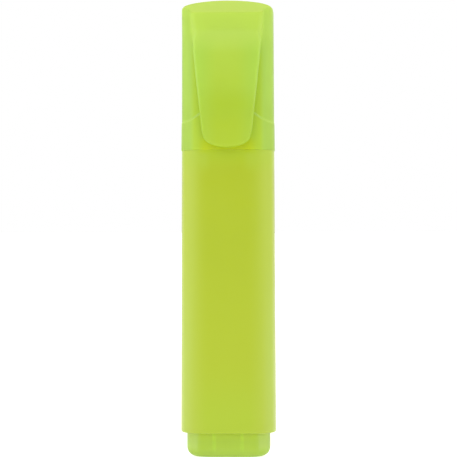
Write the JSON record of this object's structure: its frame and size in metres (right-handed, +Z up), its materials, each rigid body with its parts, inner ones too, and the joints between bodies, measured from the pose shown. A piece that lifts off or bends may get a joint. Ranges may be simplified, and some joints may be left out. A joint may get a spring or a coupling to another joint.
{
  "type": "capped flat highlighter",
  "caption": "Flat capped highlighter with a translucent pull-off cap, wide spring clip, matte barrel, chisel nib and ribbed end plug.",
  "frame": {"origin": "middle of the end plug's foot, on the surface the highlighter stands on", "axes": "+Z up along the barrel towards the cap; -Y is the clip side; X runs across the width"},
  "size_m": [0.0238, 0.0182, 0.1145],
  "materials": {
    "barrel_plastic": "satin, opaque fluorescent yellow",
    "cap_plastic": "translucent, soft gloss, yellow-green tint",
    "clear_tint_plastic": "translucent, soft gloss, yellow-green tint",
    "liner_plastic": "milky translucent",
    "holder_plastic": "satin, opaque fluorescent yellow",
    "nib_felt": "pressed polyester fibre, soaked in fluorescent yellow ink",
    "core_fibre": "bundled polyester fibre, soaked in fluorescent yellow ink",
    "film": "thin clear film"
  },
  "bodies": {
    "barrel_body": {"barrel": "barrel_plastic", "end_plug": "clear_tint_plastic", "nib_holder": "holder_plastic", "nib": "nib_felt", "reservoir": "core_fibre", "reservoir_film": "film"},
    "cap_body": {"cap_shell": "cap_plastic", "inner_cap": "liner_plastic"},
    "clip_body": {"clip": "cap_plastic"}
  },
  "joints": [
    {"name": "cap_pull", "type": "slide", "parent": "barrel_body", "child": "cap_body", "axis": [0, 0, 1], "range_m": [0, 0.045]},
    {"name": "clip_flex", "type": "hinge", "parent": "cap_body", "child": "clip_body", "pos_m": [0, -0.00945, 0.1036], "axis": [-1, 0, 0], "range_deg": [0, 6], "stiffness_Nm_per_rad": 1.2}
  ]
}
